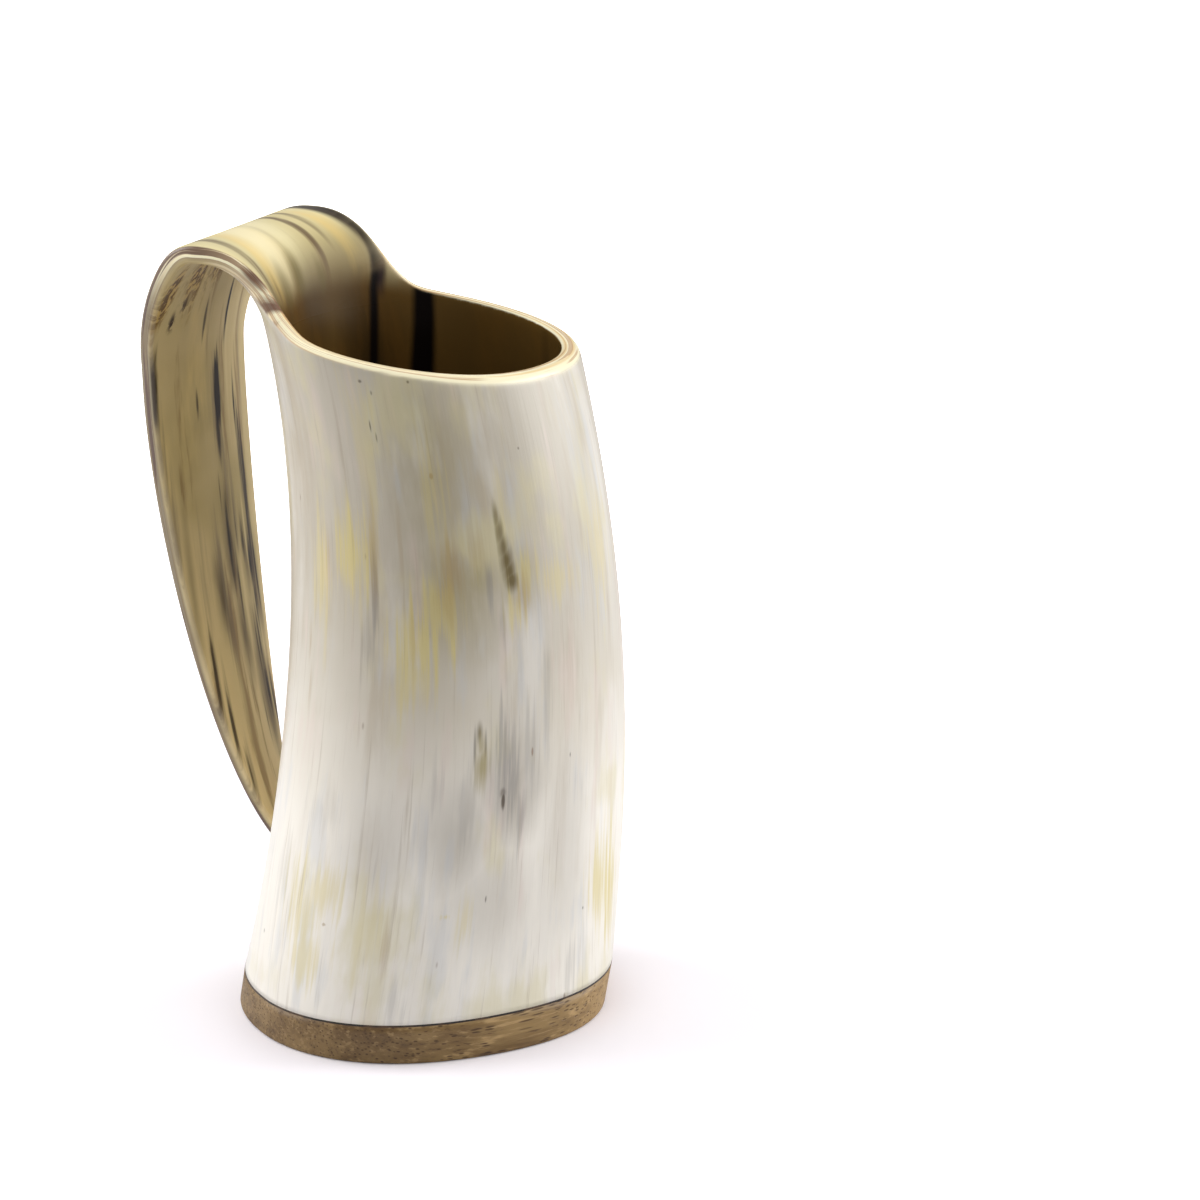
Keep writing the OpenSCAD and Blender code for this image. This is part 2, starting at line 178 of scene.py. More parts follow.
def refine(piece, sharp):
    """Creases the corners sharper than an angle, subdivides the piece and keeps the finished mesh."""
    mesh = bmesh.new()
    mesh.from_mesh(piece.data)
    crease = mesh.edges.layers.float.new("crease_edge")
    for edge in mesh.edges:
        if len(edge.link_faces) == 2 and edge.calc_face_angle() > sharp:
            edge[crease] = 1.0
    mesh.to_mesh(piece.data)
    mesh.free()
    smooth = piece.modifiers.new("smooth", "SUBSURF")
    smooth.levels = smooth.render_levels = SMOOTH_LEVELS
    done = bpy.data.meshes.new_from_object(piece.evaluated_get(bpy.context.evaluated_depsgraph_get()))
    piece.modifiers.clear()
    piece.data = done
    piece.data.shade_smooth()
    return piece


def tone(red, green, blue):
    """Colour as it looks on a screen, from 0 to 255."""
    shares = (red/255, green/255, blue/255)
    return tuple(c/12.92 if c < 0.0405 else ((c + 0.055)/1.055)**2.4 for c in shares) + (1.0,)


def add(tree, kind, inputs=None, **settings):
    """New shader node with its settings and with inputs given as values or sockets."""
    made = tree.nodes.new("ShaderNode" + kind)
    for name, value in settings.items():
        setattr(made, name, value)
    for name, value in (inputs or {}).items():
        if isinstance(value, bpy.types.NodeSocket):
            tree.links.new(value, made.inputs[name])
        else:
            made.inputs[name].default_value = value
    return made


def maths(tree, operation, first, second=0.0, third=0.0):
    return add(tree, "Math", {0: first, 1: second, 2: third}, operation=operation).outputs[0]


def fade(tree, value, start, end, low=0.0, high=1.0):
    """Smooth ramp of a value, from low at start to high at end."""
    ramp = {"Value": value, "From Min": start, "From Max": end, "To Min": low, "To Max": high}
    return add(tree, "MapRange", ramp, interpolation_type="SMOOTHSTEP").outputs["Result"]


def lay_over(tree, below, above, share):
    """Colour above laid over the colour below, by a share."""
    made = add(tree, "Mix", data_type="RGBA")
    for socket, value in ((made.inputs[0], share), (made.inputs[6], below), (made.inputs[7], above)):
        if isinstance(value, bpy.types.NodeSocket):
            tree.links.new(value, socket)
        else:
            socket.default_value = value
    return made.outputs[2]


def stain(tree, below, above, mask, strength):
    """Colour above laid over the colour below where the mask is, at a strength."""
    return lay_over(tree, below, above, maths(tree, "MULTIPLY", mask, strength))


def new_finish(name):
    """New material, its node tree and its main shader."""
    finish = bpy.data.materials.new(name)
    finish.use_nodes = True
    return finish, finish.node_tree, finish.node_tree.nodes["Principled BSDF"]


def emboss(tree, shader, height, strength, distance):
    """Fine relief of a surface from a height."""
    relief = add(tree, "Bump", {"Height": height, "Strength": strength, "Distance": distance})
    tree.links.new(relief.outputs["Normal"], shader.inputs["Normal"])


def new_group(name, inputs, outputs):
    """Empty shader node group with named sockets, and its two ends."""
    tree = bpy.data.node_groups.new(name, "ShaderNodeTree")
    for way, sockets in (("INPUT", inputs), ("OUTPUT", outputs)):
        for label, kind in sockets.items():
            tree.interface.new_socket(label, in_out=way, socket_type="NodeSocket" + kind)
    return tree, tree.nodes.new("NodeGroupInput"), tree.nodes.new("NodeGroupOutput")


# Fibres: fine lines that run along the horn or the wood, some long and some broken
fibres, ends, out = new_group(
    "fibres", {"Place": "Vector", "Count": "Float", "Stretch": "Float", "Broken": "Float"},
    {"Lines": "Float"})
thin = add(fibres, "CombineXYZ", {"X": 1.0, "Y": 1.0, "Z": ends.outputs["Stretch"]}).outputs[0]
drawn = add(fibres, "VectorMath", {0: ends.outputs["Place"], 1: thin}, operation="MULTIPLY").outputs[0]
lines = add(fibres, "TexNoise", {
    "Vector": drawn, "Scale": ends.outputs["Count"], "Detail": 5.0, "Roughness": 0.62})
short = add(fibres, "VectorMath", {0: drawn, 1: (1.0, 1.0, 5.0)}, operation="MULTIPLY").outputs[0]
fewer = maths(fibres, "MULTIPLY", ends.outputs["Count"], 0.45)
gaps = add(fibres, "TexNoise", {"Vector": short, "Scale": fewer, "Detail": 2.0})
mixed = add(fibres, "Mix", {0: ends.outputs["Broken"], 2: lines.outputs["Fac"], 3: gaps.outputs["Fac"]})
fibres.links.new(mixed.outputs[0], out.inputs["Lines"])


def fibre_lines(tree, place, count, stretch, broken=0.0):
    """Fibres at a place: how many a metre across, how short they are, and the share that is broken."""
    made = add(tree, "Group", node_tree=fibres)
    tree.links.new(place, made.inputs["Place"])
    for name, value in (("Count", count), ("Stretch", stretch), ("Broken", broken)):
        made.inputs[name].default_value = value
    return made.outputs["Lines"]


MARK_LIMIT = 1.15                      # a mark has faded out at this many times its half size


def marks(tree, place, lines, spots, ragged=3.0):
    """Joint mask of soft spots with edges frayed by lines.

    Each spot: turn round the horn in degrees, height, half width and half length in mm, softness
    of its edge, strength.
    """
    rough = maths(tree, "MULTIPLY", maths(tree, "SUBTRACT", 0.5, lines), ragged)
    nearest = {}
    for turn, height, wide, tall, edge, strength in spots:
        angle = math.radians(turn)
        middle = (GROWTH_RADIUS*math.cos(angle), GROWTH_RADIUS*math.sin(angle), height/MM)
        per_metre = (MM/wide, MM/wide, MM/tall)
        shift = tuple(-m*scale for m, scale in zip(middle, per_metre))
        offset = add(tree, "VectorMath", {0: place, 1: per_metre, 2: shift}, operation="MULTIPLY_ADD")
        away = add(tree, "VectorMath", {0: offset.outputs[0]}, operation="LENGTH").outputs["Value"]
        kind = (edge, strength)
        nearest[kind] = maths(tree, "MINIMUM", nearest[kind], away) if kind in nearest else away
    joined = None
    for (edge, strength), away in nearest.items():
        mask = fade(tree, maths(tree, "ADD", away, rough), 1.0 - edge, MARK_LIMIT, strength, 0.0)
        joined = mask if joined is None else maths(tree, "MAXIMUM", joined, mask)
    return joined


horn = refine(piece_from("horn_body", "horn"), math.radians(60))
lay_out_growth(horn.data)

SAWN_END = 0.0125                      # height of the sawn lower end, which isn't a cut edge that shows
TONGUE_START, TONGUE_FULL = 0.168, 0.186   # unbent heights where the scraped outside turns to tan
CREAM_START, CREAM_FULL = 0.166, 0.181     # and where the dark lining turns to cream
STRIPE_LEAN_FROM = 0.160               # height about which the black stripes lean
STRIPE_LEAN = math.radians(400)        # turn of the stripes round the horn for each metre of height

horn_finish, tree, shader = new_finish("polished_horn")
place = add(tree, "Attribute", attribute_name="growth").outputs["Vector"]
wall = add(tree, "Attribute", attribute_name="wall").outputs["Vector"]
wall = add(tree, "SeparateXYZ", {0: wall}).outputs
depth, inside = wall[0], fade(tree, wall[2], 0.4, 0.6)
height = add(tree, "SeparateXYZ", {0: place}).outputs[2]
cut = maths(tree, "MULTIPLY", wall[1], fade(tree, height, SAWN_END, SAWN_END + 0.0015))
fine_lines = fibre_lines(tree, place, 620, 0.035, 0.2)
wide_lines = fibre_lines(tree, place, 170, 0.10)
slow_lines = fibre_lines(tree, place, 60, 0.25, 0.3)
streaks = fibre_lines(tree, place, 850, 0.03, 0.2)

# Outside of the cup: scraped ivory with pinkish grey, pale yellow clouds and a few grey and olive
# streaks, with painted shade low on the front and painted light down both sides
cloud = add(tree, "TexNoise", {"Vector": place, "Scale": 22.0, "Detail": 3.0}).outputs["Fac"]
cloud = fade(tree, cloud, 0.35, 0.65)
colour = lay_over(tree, tone(200, 191, 172), tone(214, 208, 196), cloud)
colour = stain(tree, colour, tone(188, 180, 164), fade(tree, height, 0.075, 0.125), 0.85)
colour = stain(tree, colour, tone(250, 245, 236), fade(tree, height, 0.098, 0.045), 0.85)
olive_haze = marks(tree, place, slow_lines, [
    (-68, 140, 14, 32, 1.0, 0.7), (-66, 112, 13, 20, 1.0, 0.9), (-58, 115, 8, 9, 1.0, 1.0),
    (-42, 114, 7, 9, 1.0, 1.0)], 2.0)
colour = stain(tree, colour, tone(164, 153, 119), olive_haze, 0.90)
# Painted shade: greyer patches in the middle of the lower front, where the side lamps reach least
painted_shade = marks(tree, place, slow_lines, [
    (-46, 64, 15, 22, 1.0, 1.0), (-62, 54, 12, 18, 1.0, 1.0), (-50, 40, 16, 22, 1.0, 0.7),
    (-20, 48, 13, 32, 1.0, 0.6), (-88, 50, 9, 16, 1.0, 0.5)], 2.0)
colour = stain(tree, colour, tone(184, 178, 167), painted_shade, 0.80)
# Painted light: paler bands down the two sides of the upper cup, where the side lamps fall
painted_side_light = marks(tree, place, slow_lines, [
    (15, 138, 12, 50, 1.0, 0.8), (-148, 140, 18, 55, 1.0, 1.0)], 1.5)
colour = stain(tree, colour, tone(238, 234, 226), painted_side_light, 0.9)
colour = stain(tree, colour, tone(170, 152, 124), fade(tree, wide_lines, 0.50, 0.68),
               fade(tree, height, 0.03, 0.10, 0.10, 0.30))
colour = stain(tree, colour, tone(232, 228, 222), fade(tree, slow_lines, 0.52, 0.68), 0.45)
veins, clouds = fibre_lines(tree, place, 210, 0.09, 0.4), fibre_lines(tree, place, 90, 0.22, 0.5)
colour = stain(tree, colour, tone(222, 200, 192), fade(tree, veins, 0.53, 0.66), 0.30)
colour = stain(tree, colour, tone(190, 196, 206), fade(tree, veins, 0.47, 0.36), 0.28)
colour = stain(tree, colour, tone(212, 202, 150), fade(tree, clouds, 0.52, 0.64), 0.42)
yellow = marks(tree, place, streaks, [
    (-99, 120, 5, 13, 1.0, 0.8), (-112, 114, 3.5, 14, 1.0, 0.65), (-79, 100, 7, 11, 1.0, 0.8),
    (-80, 93, 5, 10, 1.0, 0.6), (-72, 107, 6, 9, 1.0, 0.6), (-38.5, 114, 5, 8, 1.0, 0.55),
    (-23, 112, 7, 6, 1.0, 0.5), (-44, 106, 4, 6, 1.0, 0.6), (7, 115, 8, 15, 1.0, 0.5),
    (-70, 133, 3, 15, 1.0, 0.35), (-45.5, 131, 3, 10, 1.0, 0.35), (-90, 146, 5, 16, 1.0, 0.3),
    (-109, 36, 5, 13, 1.0, 0.6), (-102, 41, 5, 7, 1.0, 0.55), (-106, 24, 5, 8, 1.0, 0.55),
    (1, 36, 2.5, 6, 1.0, 0.6), (12, 34, 5, 16, 0.9, 1.0), (3, 35, 6, 14, 1.0, 0.8),
    (-66, 36, 1.2, 1.1, 0.8, 0.9), (-87, 33, 3, 12, 1.0, 0.3), (-60, 34, 2, 8, 1.0, 0.4),
    (60, 90, 10, 28, 1.0, 0.7), (95, 60, 9, 22, 1.0, 0.7), (80, 130, 8, 18, 1.0, 0.6),
    (-160, 80, 10, 30, 1.0, 0.6), (150, 120, 9, 26, 1.0, 0.6), (120, 25, 8, 12, 1.0, 0.6),
    (35, 60, 6, 20, 1.0, 0.5), (-140, 130, 6, 18, 1.0, 0.5)], 5.0)
colour = stain(tree, colour, tone(216, 199, 118), yellow, 0.8)
grey = marks(tree, place, streaks, [
    (-92, 108, 0.9, 12, 0.9, 0.9), (-93, 98, 2.0, 10, 1.0, 0.6), (-50, 76, 2.2, 11, 0.9, 0.8),
    (-46, 66, 2.4, 10, 0.9, 0.8), (-41, 58, 2.0, 9, 0.9, 0.7), (-53, 112, 1.1, 8, 0.9, 0.7),
    (-50, 104, 2, 7, 1.0, 0.5), (-104, 60, 5, 6, 1.0, 0.2), (-119, 42, 4, 10, 1.0, 0.25),
    (-62, 62, 3, 9, 1.0, 0.35), (-72, 66, 2, 10, 1.0, 0.35), (-30, 82, 2, 16, 1.0, 0.35),
    (-78, 16, 2.5, 9, 1.0, 0.4), (-14, 17, 3, 9, 1.0, 0.4), (-47.5, 71, 3, 12, 1.0, 0.9),
    (-47, 66, 5, 14, 1.0, 0.45), (-38, 72, 3, 12, 1.0, 0.4), (45, 120, 4, 18, 1.0, 0.6),
    (75, 110, 5, 25, 1.0, 0.7), (88, 70, 3, 22, 1.0, 0.7), (105, 120, 6, 20, 1.0, 0.7),
    (135, 70, 6, 26, 1.0, 0.6), (-145, 120, 6, 18, 1.0, 0.5), (175, 60, 5, 20, 1.0, 0.6),
    (160, 130, 4, 16, 1.0, 0.6)], 5.0)
colour = stain(tree, colour, tone(134, 130, 128), grey, 0.65)
brown = marks(tree, place, streaks, [
    (-66.5, 117, 4.0, 9, 1.0, 0.7), (-69, 111, 2.5, 7, 1.0, 0.5), (-40, 110, 3.2, 6, 1.0, 0.6),
    (-117.5, 97, 0.7, 7, 1.0, 0.7), (-116, 87, 0.8, 7, 1.0, 0.5), (-109, 118, 0.9, 11, 1.0, 0.45),
    (-92, 119, 1.2, 13, 1.0, 0.5), (-83, 124, 0.9, 16, 1.0, 0.35), (-80, 100, 1.2, 9, 1.0, 0.35),
    (-82, 29, 1.0, 9, 1.0, 0.4), (-70, 138, 0.6, 0.7, 0.6, 0.8), (-100, 33.5, 0.5, 0.5, 0.6, 0.8),
    (-57, 122, 3, 8, 1.0, 0.35), (70, 76, 3, 16, 1.0, 0.6), (118, 96, 2, 14, 1.0, 0.6),
    (-170, 110, 2, 14, 1.0, 0.6)], 4.0)
colour = stain(tree, colour, tone(164, 136, 88), brown, 0.7)
olive = marks(tree, place, fine_lines, [
    (-48.2, 128, 1.1, 4.5, 0.9, 0.7), (-47.4, 124.5, 1.6, 5, 0.9, 0.8), (-46.5, 121, 1.9, 5, 0.9, 0.9),
    (-45.7, 118, 2.2, 5, 0.9, 1.0), (-44.9, 115.5, 2.3, 4.5, 0.9, 1.0),
    (-44.3, 113.4, 2.2, 3.4, 0.8, 1.0), (-58.6, 79, 0.9, 3.5, 0.9, 0.8), (102, 88, 1.2, 7, 0.9, 0.8),
    (64, 44, 1.0, 6, 0.9, 0.7)], 1.5)
colour = stain(tree, colour, tone(100, 84, 40), olive, 0.95)
lens = marks(tree, place, streaks, [
    (-57.6, 71, 2.1, 7.0, 0.8, 1.0), (-58.1, 76, 1.4, 5, 0.8, 0.8)], 2.5)
colour = stain(tree, colour, tone(160, 146, 96), lens, 0.8)
dark_edge = marks(tree, place, fine_lines, [
    (-60.3, 76, 0.4, 6, 0.8, 0.6), (-56.4, 76.5, 0.35, 4, 0.8, 0.5), (-49, 62, 0.55, 2.4, 0.6, 1.0),
    (-49.2, 64, 0.9, 1.4, 0.8, 0.6), (-88.5, 159, 0.5, 0.5, 0.8, 0.8),
    (-72.5, 159, 0.4, 0.45, 0.8, 0.8), (-85.5, 156.5, 0.3, 0.7, 0.8, 0.6),
    (-88, 149, 0.25, 1.6, 0.8, 0.8), (-86.5, 146.5, 0.25, 1.3, 0.8, 0.6),
    (-34, 142.5, 0.35, 0.4, 0.8, 0.7), (-13.5, 156.7, 1.2, 0.3, 0.6, 1.0),
    (-53, 39, 0.25, 1.0, 0.8, 0.8), (-8, 30.5, 0.35, 0.6, 0.8, 0.9), (-18.5, 69.5, 0.25, 0.8, 0.8, 0.9),
    (-127, 25.5, 0.4, 0.8, 0.8, 0.6), (30, 70, 0.4, 2, 0.8, 0.8), (100, 95, 0.7, 3, 0.8, 0.8)], 1.5)
colour = stain(tree, colour, tone(70, 54, 34), dark_edge, 0.85)
hair = fade(tree, fibre_lines(tree, place, 1300, 0.02, 0.25), 0.54, 0.70)
colour = stain(tree, colour, tone(150, 132, 106), hair, 0.30)
squeezed = add(tree, "VectorMath", {0: place, 1: (1.0, 1.0, 0.3)}, operation="MULTIPLY").outputs[0]
pores = add(tree, "TexVoronoi", {"Vector": squeezed, "Scale": 330.0, "Randomness": 1.0}, feature="F1")
seldom = fade(tree, add(tree, "SeparateXYZ", {0: pores.outputs["Color"]}).outputs[0], 0.93, 0.94)
speck = maths(tree, "MULTIPLY", fade(tree, pores.outputs["Distance"], 0.15, 0.06), seldom)
colour = stain(tree, colour, tone(120, 84, 56), speck, 0.6)

# Outer face of the tongue, towards the fingers: tan horn with long dark streaks, painted shade over
# its far half, and crossed fibres in the bend
tongue_share = fade(tree, height, TONGUE_START, TONGUE_FULL)
tan = lay_over(tree, tone(168, 150, 100), tone(196, 176, 128), cloud)
tan = stain(tree, tan, tone(236, 214, 164), fade(tree, height, 0.25, 0.32), 0.7)
tan = stain(tree, tan, tone(214, 190, 128), fade(tree, slow_lines, 0.50, 0.68), 0.7)
tan = stain(tree, tan, tone(120, 90, 54), fade(tree, wide_lines, 0.53, 0.66), 0.65)
dusk = marks(tree, place, streaks, [
    (-170, 269, 2.4, 14, 1.0, 0.8), (-179, 232, 2.4, 12, 1.0, 0.8), (-172, 283, 2.6, 14, 1.0, 0.8),
    (-157, 270, 2.0, 18, 1.0, 0.5), (-156, 294, 1.6, 18, 1.0, 0.8), (-160, 304, 1.6, 14, 1.0, 0.8),
    (-141, 238, 1.6, 20, 1.0, 0.8), (-145, 258, 1.6, 20, 1.0, 0.7), (178, 248, 2.4, 12, 1.0, 0.6),
    (172, 256, 1.6, 14, 1.0, 0.5), (-166, 318, 1.6, 10, 1.0, 0.7), (166, 306, 1.6, 12, 1.0, 0.6),
    (150, 225, 1.4, 22, 1.0, 0.4)], 4.0)
tan = stain(tree, tan, tone(112, 98, 84), dusk, 0.75)
# Dark smoky streaks, widened into painted shade over the far half of the tongue's outer face
smoky_streaks_and_shade = marks(tree, place, slow_lines, [
    (158, 268, 6, 34, 1.0, 0.9), (165, 300, 6, 30, 1.0, 1.0), (180, 236, 3, 14, 1.0, 0.7),
    (180, 264, 5, 20, 1.0, 1.0), (178, 286, 5, 16, 1.0, 1.0), (-168, 276, 5, 17, 1.0, 1.0),
    (165, 268, 4, 20, 1.0, 0.8), (-150, 270, 2, 30, 1.0, 0.5)], 2.5)
tan = stain(tree, tan, tone(72, 56, 34), smoky_streaks_and_shade, 0.82)
streak = marks(tree, place, wide_lines, [
    (179, 226, 2.0, 10, 0.4, 1.0), (-179.5, 236, 1.5, 8, 0.8, 0.8), (170, 206, 1.2, 10, 0.7, 1.0),
    (-169, 208, 0.8, 6, 0.8, 0.8), (161, 232, 1.2, 15, 0.7, 1.0), (158, 245, 1.0, 13, 0.8, 0.8),
    (-164.5, 228, 0.8, 4, 0.8, 0.8), (-140.5, 224, 1.1, 13, 0.9, 0.9), (167, 265, 1.6, 8, 0.9, 1.0),
    (161, 271, 2.0, 9, 0.9, 1.0), (160, 281, 1.4, 8, 0.9, 0.9), (155, 252, 1.2, 14, 0.9, 0.9),
    (163, 303, 1.4, 10, 0.9, 1.0), (171, 308, 1.0, 10, 0.9, 0.7), (-156, 292, 0.7, 12, 0.9, 0.8),
    (-160.5, 305, 0.8, 10, 0.9, 0.8), (-165, 318, 0.7, 8, 0.9, 0.8), (173, 262, 1.0, 10, 0.9, 0.7),
    (166, 290, 0.8, 12, 0.9, 0.7), (157, 260, 1.3, 14, 0.9, 0.9), (160, 242, 1.3, 14, 0.9, 0.8),
    (154, 274, 1.2, 16, 0.9, 0.9), (163, 288, 1.3, 14, 0.9, 0.9), (158, 306, 1.0, 12, 0.9, 0.8),
    (-179.5, 262, 1.1, 12, 0.9, 0.9), (176, 276, 1.0, 12, 0.9, 0.8),
    (-176, 250, 0.8, 8, 0.9, 0.7)], 3.0)
tan = lay_over(tree, tan, tone(34, 22, 14), streak)
pale_streak = marks(tree, place, streaks, [
    (172, 280, 1.6, 14, 0.8, 0.9), (163, 262, 0.9, 12, 0.8, 0.8), (158.6, 290, 1.6, 10, 0.9, 0.8),
    (-171, 299, 2.4, 14, 1.0, 0.7), (-178, 313, 2.2, 10, 1.0, 0.7), (168, 222, 1.6, 20, 0.9, 0.7),
    (156, 212, 2.0, 16, 0.9, 0.7)], 3.0)
tan = stain(tree, tan, tone(208, 190, 140), pale_streak, 0.8)
bend_place = add(tree, "Mapping", {"Vector": place, "Rotation": (0.0, -0.75, 0.0)}).outputs[0]
bend_place = add(tree, "VectorMath", {0: bend_place, 1: (1.0, 0.9, 0.12)}, operation="MULTIPLY").outputs[0]
crossed = add(tree, "TexNoise", {
    "Vector": bend_place, "Scale": 900.0, "Detail": 3.0, "Distortion": 0.3}).outputs["Fac"]
in_bend = marks(tree, place, wide_lines, [
    (-152, 196, 11, 12, 0.9, 1.0), (-137, 198, 6, 9, 0.9, 1.0), (-166, 193, 6, 7, 0.9, 0.9),
    (-176, 190, 5, 5, 0.9, 0.7)], 3.0)
ruffled = maths(tree, "MULTIPLY", in_bend, fade(tree, crossed, 0.43, 0.53))
tan = stain(tree, tan, tone(188, 156, 88), in_bend, 0.85)
tan = stain(tree, tan, tone(92, 66, 26), ruffled, 0.95)
torn = marks(tree, place, fine_lines, [
    (-150, 203, 2.5, 3, 0.9, 1.0), (-146, 207, 1.6, 3, 0.9, 1.0)], 2.0)
tan = stain(tree, tan, tone(58, 38, 16), torn, fade(tree, crossed, 0.42, 0.50))
colour = lay_over(tree, colour, tan, tongue_share)

# Inner face: dark amber in the cup, darker lower down as painted shade, two black stripes, and pale cream
# over the hump
# Painted shade: the amber darkens further down the cup
deep = lay_over(tree, tone(98, 74, 36), tone(72, 54, 27), fade(tree, height, 0.155, 0.10))
# Darker amber on the inner wall either side of the handle: darker horn with painted shade over it
dark_and_shaded_side = marks(tree, place, slow_lines, [
    (-175, 158, 20, 24, 1.0, 0.7), (-150, 150, 16, 40, 1.0, 0.7), (145, 152, 22, 26, 1.0, 1.0)], 1.0)
deep = stain(tree, deep, tone(44, 30, 14), dark_and_shaded_side, 0.85)
deep = stain(tree, deep, tone(120, 84, 34), fade(tree, slow_lines, 0.46, 0.66), 0.35)
cream = lay_over(tree, tone(216, 202, 152), tone(238, 228, 184), cloud)
cream = stain(tree, cream, tone(240, 218, 150), fade(tree, slow_lines, 0.50, 0.66), 0.5)
cream = stain(tree, cream, tone(128, 100, 60), fade(tree, wide_lines, 0.54, 0.70), 0.4)
uneven = maths(tree, "MULTIPLY_ADD", maths(tree, "SUBTRACT", cloud, 0.5), 0.004, height)
lining = lay_over(tree, deep, cream, fade(tree, uneven, CREAM_START, CREAM_FULL))
gold = marks(tree, place, slow_lines, [
    (147, 180, 4, 8, 1.0, 0.9), (-150, 184, 4, 12, 1.0, 0.8), (-166, 194, 5, 14, 1.0, 0.5),
    (170, 205, 4, 16, 1.0, 0.5)])
lining = stain(tree, lining, tone(240, 204, 118), gold, 0.45)
# Painted highlight: near-white light on the crest of the hump, where the lamp above would reflect
glow = marks(tree, place, slow_lines, [
    (-161, 185, 8, 12, 1.0, 1.0), (-177, 188, 7, 10, 1.0, 0.8), (-160, 198, 6, 12, 1.0, 0.7)], 2.0)
lining = stain(tree, lining, tone(250, 238, 198), glow, 0.75)
# Painted shadow: olive-dark spots where the dark lining turns to cream, below the hump's crest
painted_olive_shadow = marks(tree, place, slow_lines, [
    (-172, 174, 3.5, 5, 1.0, 1.0), (170, 172, 3, 5, 1.0, 0.9), (-158, 172, 3, 5, 1.0, 0.7)], 2.0)
lining = stain(tree, lining, tone(104, 92, 50), painted_olive_shadow, 0.6)
band = marks(tree, place, wide_lines, [
    (166, 190, 2.2, 12, 0.9, 0.9), (165, 180, 1.6, 7, 0.9, 0.9), (154, 190, 1.8, 12, 0.9, 0.8),
    (156, 181, 1.4, 6, 0.9, 0.6), (160, 204, 2.0, 14, 1.0, 0.6), (-139, 186, 2.8, 15, 1.0, 0.9),
    (-140, 176, 1.8, 7, 0.9, 0.8), (-148, 172, 1.8, 5, 1.0, 0.6), (-132, 205, 2.2, 18, 0.8, 0.8),
    (143, 215, 1.8, 22, 0.9, 0.8), (176, 230, 1.8, 30, 0.9, 0.7), (-160, 240, 1.4, 30, 0.9, 0.6),
    (150, 260, 2.0, 40, 0.9, 0.7), (-150, 280, 1.4, 30, 0.9, 0.6), (172, 290, 1.8, 26, 0.9, 0.6)], 2.0)
lining = stain(tree, lining, tone(84, 60, 50), band, 0.85)
far_edge = marks(tree, place, slow_lines, [
    (133, 196, 4.4, 16, 0.6, 1.0), (133.5, 182, 4.2, 12, 0.6, 1.0), (133, 174, 3.4, 8, 0.6, 1.0),
    (138, 210, 3, 16, 0.9, 0.7)], 1.5)
lining = stain(tree, lining, tone(40, 28, 32), far_edge, 0.95)
twist = maths(tree, "MULTIPLY", maths(tree, "SUBTRACT", height, STRIPE_LEAN_FROM), STRIPE_LEAN)
twisted = add(tree, "VectorRotate", {"Vector": place, "Axis": (0.0, 0.0, 1.0), "Angle": twist}).outputs[0]
black = marks(tree, twisted, slow_lines, [
    (139.6, 150, 2.3, 46, 0.7, 1.0), (114.6, 140, 4.0, 60, 0.45, 1.0), (60, 120, 3.0, 50, 0.9, 0.5),
    (20, 110, 5.0, 60, 0.9, 0.6), (-60, 100, 5.0, 60, 0.9, 0.6), (-150, 110, 3.0, 40, 0.9, 0.4)], 1.0)
lining = lay_over(tree, lining, tone(16, 11, 9), black)
colour = lay_over(tree, colour, lining, inside)

# Cut edge: cream layers with thin brown lines between them
layer_place = add(tree, "CombineXYZ", {"X": depth}).outputs[0]
drift = add(tree, "VectorMath", {0: place, 1: (0.02, 0.02, 0.02)}, operation="MULTIPLY").outputs[0]
layer_place = add(tree, "VectorMath", {0: layer_place, 1: drift}, operation="ADD").outputs[0]
layers = add(tree, "TexNoise", {"Vector": layer_place, "Scale": 1500.0, "Detail": 2.0}).outputs["Fac"]
bright = add(tree, "TexNoise", {"Vector": layer_place, "Scale": 700.0, "Detail": 1.0}).outputs["Fac"]
edge_colour = lay_over(tree, tone(240, 214, 160), tone(255, 247, 212), fade(tree, bright, 0.40, 0.55))
edge_colour = stain(tree, edge_colour, tone(188, 138, 90), fade(tree, layers, 0.49, 0.57), 0.65)
tongue_edge = stain(tree, edge_colour, tone(110, 92, 68), fade(tree, height, 0.186, 0.206), 0.88)
dark_layers = maths(tree, "MULTIPLY", fade(tree, layers, 0.50, 0.58), fade(tree, height, 0.172, 0.186))
tongue_edge = stain(tree, tongue_edge, tone(88, 66, 58), dark_layers, 0.85)
thin_edge = fade(tree, depth, 0.0006, 0.0022, 0.1, 1.0)
thin_edge = add(tree, "Mix", {0: tongue_share, 2: 1.0, 3: thin_edge}).outputs[0]
bruise = marks(tree, place, fine_lines, [
    (-128, 175.5, 2.6, 2.4, 0.8, 0.9), (-124, 171.8, 3.0, 1.6, 0.8, 0.9),
    (-121, 169, 2.4, 0.9, 0.8, 0.7), (118, 163, 1.0, 1.6, 0.8, 0.6)])
tongue_edge = lay_over(tree, tongue_edge, tone(104, 66, 52), bruise)
colour = stain(tree, colour, tongue_edge, cut, thin_edge)
tree.links.new(colour, shader.inputs["Base Color"])

